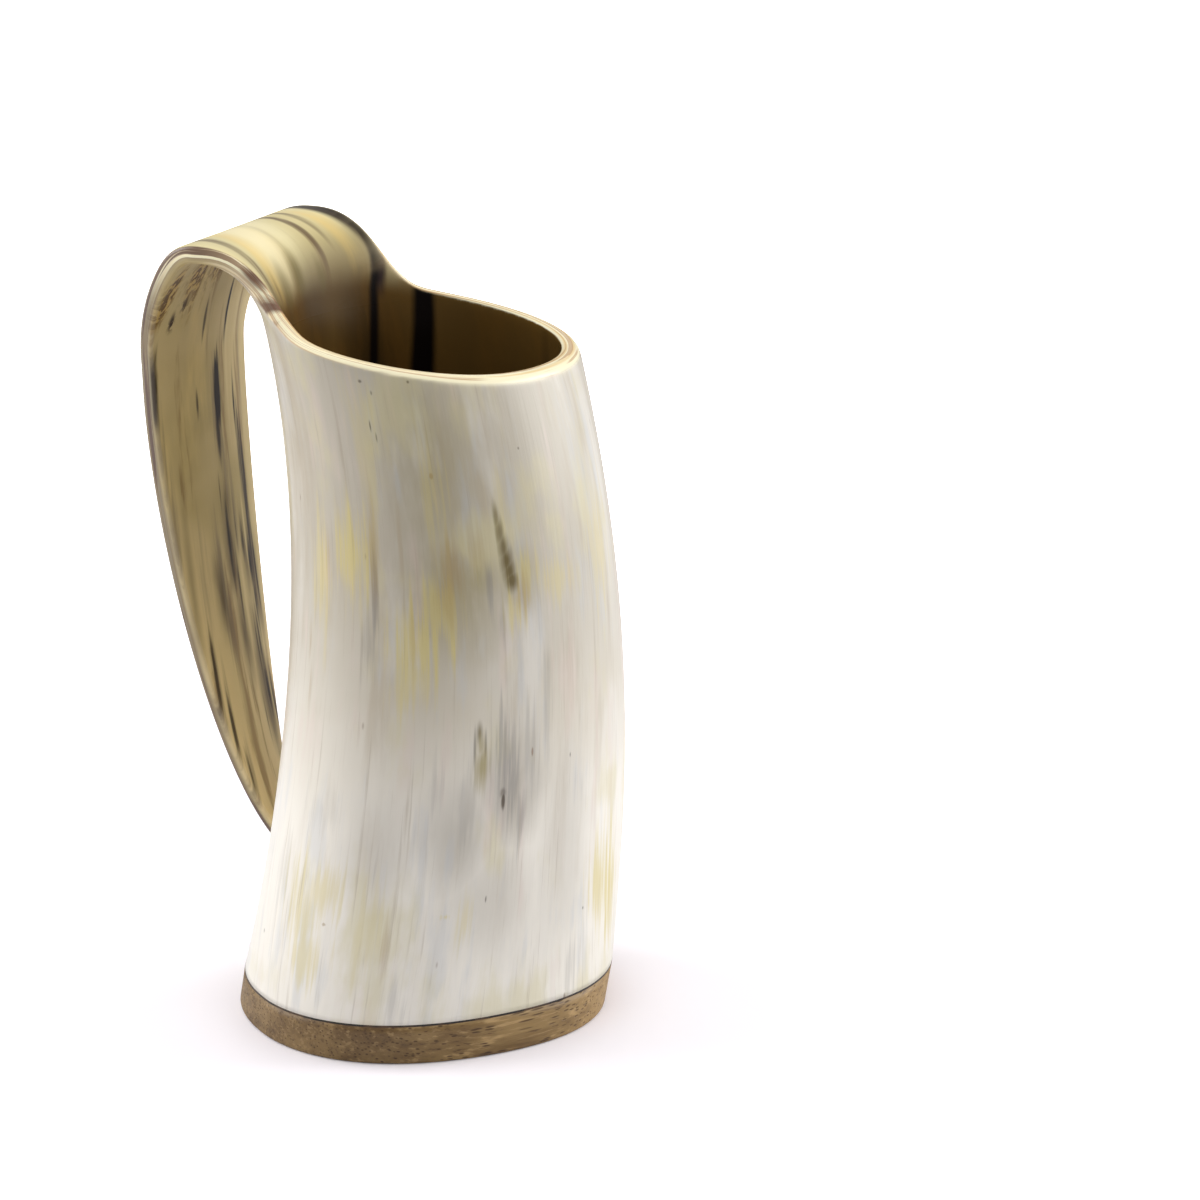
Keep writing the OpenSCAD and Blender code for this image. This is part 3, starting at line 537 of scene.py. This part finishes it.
# Gloss and relief: satin outside, dull on the tongue's outer face, lacquered inside and on the edge
gloss = maths(tree, "MULTIPLY_ADD", fine_lines, 0.12, 0.26)
under_tongue = maths(tree, "MULTIPLY", maths(tree, "SUBTRACT", 1.0, inside), tongue_share)
gloss = add(tree, "Mix", {0: under_tongue, 2: gloss, 3: 0.42}).outputs[0]
lacquer = fade(tree, height, 0.150, 0.172, 0.16, 0.32)
gloss = add(tree, "Mix", {0: inside, 2: gloss, 3: lacquer}).outputs[0]
gloss = add(tree, "Mix", {0: cut, 2: gloss, 3: 0.22}).outputs[0]
tree.links.new(gloss, shader.inputs["Roughness"])
sheen = add(tree, "Mix", {0: tongue_share, 2: 0.5, 3: 0.10}).outputs[0]
lacquer = fade(tree, height, 0.176, 0.192, 0.05, 0.40)
sheen = add(tree, "Mix", {0: inside, 2: sheen, 3: lacquer}).outputs[0]
sheen = add(tree, "Mix", {0: cut, 2: sheen, 3: 0.5}).outputs[0]
tree.links.new(sheen, shader.inputs["Specular IOR Level"])
grooves = maths(tree, "MULTIPLY_ADD", maths(tree, "MULTIPLY", ruffled, -1.0), 2.0, fine_lines)
polished_in = maths(tree, "SUBTRACT", 1.0, maths(tree, "MULTIPLY", inside, 0.85))
grooves = maths(tree, "MULTIPLY", grooves, polished_in)
emboss(tree, shader, grooves, 0.5, 0.00015)
shader.inputs["IOR"].default_value = 1.54
horn.data.materials.append(horn_finish)
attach(horn, "root")
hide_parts("horn_body")


# Wood base: a band of open-pored brown hardwood, flush with the horn, with a plug that stands up
# inside it. It is sawn from a board, sanded to the horn's oval on a belt, and oiled.

GRAIN_WAY = math.radians(238)          # direction of the wood's grain, in the plane of the table

foot = refine(piece_from("wood_base", "foot"), math.radians(35))
wood_finish, tree, shader = new_finish("oiled_hardwood")
here = add(tree, "TexCoord").outputs["Object"]
grain = add(tree, "VectorRotate", {"Vector": here, "Axis": (0.0, 0.0, 1.0), "Angle": -GRAIN_WAY}).outputs[0]
grain = add(tree, "SeparateXYZ", {0: grain}).outputs
grain = add(tree, "CombineXYZ", {"X": grain[1], "Y": grain[2], "Z": grain[0]}).outputs[0]
wide_grain, thin_grain = fibre_lines(tree, grain, 150, 0.08), fibre_lines(tree, grain, 900, 0.06, 0.3)
colour = lay_over(tree, tone(118, 90, 50), tone(158, 128, 80), fade(tree, wide_grain, 0.35, 0.62))
colour = stain(tree, colour, tone(84, 58, 36), fade(tree, thin_grain, 0.54, 0.66), 0.8)
colour = stain(tree, colour, tone(196, 162, 112), fade(tree, thin_grain, 0.48, 0.37), 0.7)
squeezed = add(tree, "VectorMath", {0: grain, 1: (1.0, 1.0, 0.10)}, operation="MULTIPLY").outputs[0]
vessels = add(tree, "TexVoronoi", {"Vector": squeezed, "Scale": 1500.0, "Randomness": 1.0}, feature="F1")
chosen = fade(tree, add(tree, "SeparateXYZ", {0: vessels.outputs["Color"]}).outputs[0], 0.45, 0.50)
vessel = maths(tree, "MULTIPLY", fade(tree, vessels.outputs["Distance"], 0.42, 0.20), chosen)
colour = stain(tree, colour, tone(62, 40, 24), vessel, 0.75)
along = add(tree, "SeparateXYZ", {0: grain}).outputs[2]
colour = stain(tree, colour, tone(92, 68, 40), fade(tree, along, 0.015, 0.042), 0.42)
colour = stain(tree, colour, tone(188, 150, 98), fade(tree, along, -0.005, -0.030), 0.26)
tree.links.new(colour, shader.inputs["Base Color"])
tree.links.new(maths(tree, "MULTIPLY_ADD", vessel, 0.2, 0.48), shader.inputs["Roughness"])
emboss(tree, shader, maths(tree, "SUBTRACT", thin_grain, vessel), 0.6, 0.0001)
foot.data.materials.append(wood_finish)
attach(foot, "root")
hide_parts("wood_base")


# Glue seam: dark adhesive between the horn and the wood, under the horn's edge and up round the
# plug. Only its rim shows, as a thin dark line round the cup, sanded flush with both.

seam = refine(piece_from("glue_seam", "seam"), math.radians(35))
glue_finish, tree, shader = new_finish("dark_glue")
here = add(tree, "TexCoord").outputs["Object"]
lumps = add(tree, "TexNoise", {"Vector": here, "Scale": 260.0, "Detail": 3.0}).outputs["Fac"]
colour = lay_over(tree, tone(34, 24, 18), tone(84, 62, 44), fade(tree, lumps, 0.42, 0.66))
tree.links.new(colour, shader.inputs["Base Color"])
tree.links.new(maths(tree, "MULTIPLY_ADD", lumps, 0.3, 0.35), shader.inputs["Roughness"])
emboss(tree, shader, lumps, 0.5, 0.0001)
seam.data.materials.append(glue_finish)
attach(seam, "root")
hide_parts("glue_seam")


# Floor seal: a clear amber coat poured over the plug inside the cup. It climbs the wall with a
# rounded corner and keeps drink off the wood and the glue.

coat = refine(piece_from("floor_seal", "coat"), math.radians(50))
seal_finish, tree, shader = new_finish("amber_coat")
here = add(tree, "TexCoord").outputs["Object"]
drift = add(tree, "TexNoise", {"Vector": here, "Scale": 40.0, "Detail": 3.0}).outputs["Fac"]
colour = lay_over(tree, tone(92, 60, 28), tone(140, 96, 46), fade(tree, drift, 0.35, 0.65))
tree.links.new(colour, shader.inputs["Base Color"])
ripple = add(tree, "TexNoise", {"Vector": here, "Scale": 70.0, "Detail": 1.0}).outputs["Fac"]
tree.links.new(maths(tree, "MULTIPLY_ADD", ripple, 0.08, 0.06), shader.inputs["Roughness"])
emboss(tree, shader, ripple, 0.25, 0.0004)
coat.data.materials.append(seal_finish)
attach(coat, "root")
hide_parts("floor_seal")


# Camera: the photograph's view, a little above the rim, with the handle to the left.

VIEW_TURN, VIEW_TILT, VIEW_ROLL = math.radians(21.560), math.radians(15.257), math.radians(0.830)
VIEW_DISTANCE = 1.049258               # from the origin, along the view
PHOTO_WIDTH = 1200                     # in pixels, as are the next two
VIEW_FOCUS = 4366.497
VIEW_CENTRE = (422.644, 996.666)       # where the origin lies in the picture
SENSOR_WIDTH = 36                      # in millimetres

level = Vector((math.cos(VIEW_TURN), math.sin(VIEW_TURN), 0))
away = Vector((math.sin(VIEW_TURN), -math.cos(VIEW_TURN), 0))
back = away*math.cos(VIEW_TILT) + Vector((0, 0, math.sin(VIEW_TILT)))
upright = back.cross(level)
across = level*math.cos(VIEW_ROLL) + upright*math.sin(VIEW_ROLL)
up = upright*math.cos(VIEW_ROLL) - level*math.sin(VIEW_ROLL)
pixel = VIEW_DISTANCE/VIEW_FOCUS
stand = back*VIEW_DISTANCE - across*((VIEW_CENTRE[0] - PHOTO_WIDTH/2)*pixel)
stand += up*((VIEW_CENTRE[1] - PHOTO_WIDTH/2)*pixel)
camera_data = bpy.data.cameras.new("camera")
camera_data.sensor_width = SENSOR_WIDTH
camera_data.lens = VIEW_FOCUS/PHOTO_WIDTH*SENSOR_WIDTH
camera_data.clip_start = 0.05
camera = bpy.data.objects.new("camera", camera_data)
camera.matrix_world = Matrix.Translation(stand) @ Matrix((across, up, back)).transposed().to_4x4()
bpy.context.scene.collection.objects.link(camera)
bpy.context.scene.camera = camera


# Light and floor: a white table in soft light, from a wide lamp on either side and a wider one
# above, which doesn't show in the gloss. The table's extra white is seen by the camera alone.

FLOOR_REACH = 4.0                      # half the side of the table
LIT_FROM, LIT_TO = 0.06, 0.6           # distances over which the shadow gives way to plain white
AIM_HEIGHT = 0.09                      # height on the cup at which the lamps point

floor_data = bpy.data.meshes.new("table_top")
mesh = bmesh.new()
bmesh.ops.create_grid(mesh, x_segments=1, y_segments=1, size=FLOOR_REACH)
mesh.to_mesh(floor_data)
mesh.free()
floor = bpy.data.objects.new("table_top", floor_data)
bpy.context.scene.collection.objects.link(floor)
paper, tree, shader = new_finish("white_table")
seen = add(tree, "LightPath").outputs["Is Camera Ray"]
here = add(tree, "TexCoord").outputs["Object"]
far = add(tree, "VectorMath", {0: here}, operation="LENGTH").outputs["Value"]
tree.links.new(lay_over(tree, tone(225, 224, 226), tone(248, 244, 250), seen), shader.inputs["Base Color"])
shader.inputs["Roughness"].default_value = 0.7
shader.inputs["Specular IOR Level"].default_value = 0.2
white = maths(tree, "MULTIPLY", seen, fade(tree, far, LIT_FROM, LIT_TO, 0.10, 1.2))
glow = add(tree, "Emission", {"Color": (1, 1, 1, 1), "Strength": white})
both = add(tree, "AddShader")
tree.links.new(shader.outputs[0], both.inputs[0])
tree.links.new(glow.outputs[0], both.inputs[1])
tree.links.new(both.outputs[0], tree.nodes["Material Output"].inputs["Surface"])
floor_data.materials.append(paper)

world = bpy.data.worlds.new("studio")
bpy.context.scene.world = world
world.use_nodes = True
sky = world.node_tree.nodes["Background"]
sky.inputs["Color"].default_value = (1.0, 0.99, 0.975, 1)
sky.inputs["Strength"].default_value = 0.30


def lamp(name, sideways, forwards, height, size, power, mirrored=True):
    """Square soft lamp, placed by its distances from the cup as the camera sees them."""
    data = bpy.data.lights.new(name, "AREA")
    data.shape, data.size, data.energy = "SQUARE", size, power
    place = level*sideways + upright.cross(level)*-forwards
    place = Vector((place.x, place.y, height))
    made = bpy.data.objects.new(name, data)
    turned = (place - Vector((0, 0, AIM_HEIGHT))).to_track_quat("Z", "Y").to_matrix().to_4x4()
    made.matrix_world = Matrix.Translation(place) @ turned
    made.visible_glossy = mirrored
    bpy.context.scene.collection.objects.link(made)


lamp("lamp_left", -0.95, -0.08, 0.50, 0.8, 7.5)
lamp("lamp_right", 0.95, -0.22, 0.45, 0.8, 8.5)
lamp("lamp_above", -0.2, 0.1, 1.5, 1.8, 14, False)

bpy.context.scene.view_settings.view_transform = "Standard"
